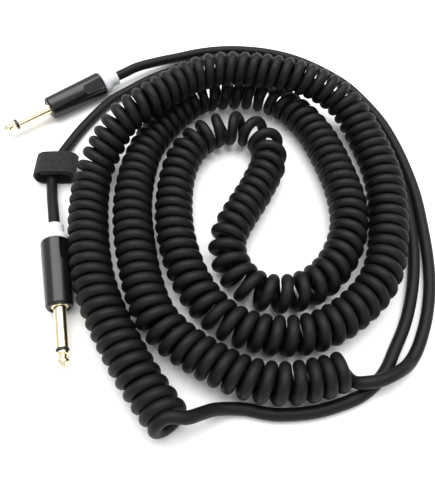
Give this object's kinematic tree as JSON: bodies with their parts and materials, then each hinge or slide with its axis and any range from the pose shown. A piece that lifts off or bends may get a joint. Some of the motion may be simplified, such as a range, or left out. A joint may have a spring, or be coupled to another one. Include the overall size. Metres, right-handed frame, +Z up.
{
  "type": "instrument cable",
  "caption": "Coiled instrument cable laid in a double spiral, with a straight lead and a quarter-inch phone plug at each end and a hook-and-loop tie on one lead.",
  "frame": {"origin": "middle of the laid cable's box, on the surface that it lies on", "axes": "+Z up; +Y away from the viewer, towards the leads' outer bend; +X right; both plugs are on the -X side"},
  "size_m": [0.2553, 0.2697, 0.043],
  "materials": {
    "pvc_jacket": "extruded soft black PVC, satin",
    "black_lacquer": "turned brass, satin black lacquer",
    "white_boot": "moulded white plastic, satin",
    "gold_plate": "pale gold plating on turned brass, polished",
    "black_nylon": "black nylon, matt",
    "natural_nylon": "natural nylon, satin",
    "tinned_brass": "tinned brass tab, satin",
    "tinned_copper": "tinned copper braid, twisted",
    "wire_insulation": "white polyethylene insulation",
    "tie_fabric": "black brushed-nylon loop fabric"
  },
  "bodies": {
    "root": {"curly_cord": "pvc_jacket", "lead_to_plug_1": "pvc_jacket", "lead_to_plug_2": "pvc_jacket", "tip_contact_1": "gold_plate", "tip_insulator_1": "black_nylon", "sleeve_contact_1": "gold_plate", "inner_bush_1": "black_nylon", "tip_lug_1": "tinned_brass", "ground_clamp_1": "gold_plate", "shell_1": "black_lacquer", "shell_liner_1": "black_nylon", "jacket_end_1": "pvc_jacket", "core_wire_1": "wire_insulation", "screen_tail_1": "tinned_copper", "tip_contact_2": "gold_plate", "tip_insulator_2": "black_nylon", "sleeve_contact_2": "gold_plate", "inner_bush_2": "black_nylon", "tip_lug_2": "tinned_brass", "ground_clamp_2": "gold_plate", "shell_2": "black_lacquer", "shell_liner_2": "black_nylon", "jacket_end_2": "pvc_jacket", "core_wire_2": "wire_insulation", "screen_tail_2": "tinned_copper"},
    "chuck_1": {"chuck_1": "natural_nylon"},
    "boot_1": {"boot_nut_1": "white_boot"},
    "chuck_2": {"chuck_2": "natural_nylon"},
    "boot_2": {"boot_nut_2": "white_boot"},
    "tie": {"tie_strap": "tie_fabric", "tie_lap": "tie_fabric"}
  },
  "joints": [
    {"name": "chuck_1_slide", "type": "slide", "parent": "root", "child": "chuck_1", "axis": [0.8039, 0.5948, 0], "range_m": [0, 0.006]},
    {"name": "boot_1_turn", "type": "hinge", "parent": "chuck_1", "child": "boot_1", "pos_m": [-0.0615, 0.0985, 0.008], "axis": [0.8039, 0.5948, 0], "range_deg": [0, 1440]},
    {"name": "chuck_2_slide", "type": "slide", "parent": "root", "child": "chuck_2", "axis": [-0.2164, 0.9763, 0], "range_m": [0, 0.006]},
    {"name": "boot_2_turn", "type": "hinge", "parent": "chuck_2", "child": "boot_2", "pos_m": [-0.0835, -0.022, 0.008], "axis": [-0.2164, 0.9763, 0], "range_deg": [0, 1440]},
    {"name": "tie_slide", "type": "slide", "parent": "root", "child": "tie", "axis": [0, -1, 0], "range_m": [0, 0.009]}
  ],
  "couplings": [
    {"joint": "boot_1_turn", "follows": "chuck_1_slide", "rad_per_m": 4188.8},
    {"joint": "boot_2_turn", "follows": "chuck_2_slide", "rad_per_m": 4188.8}
  ]
}
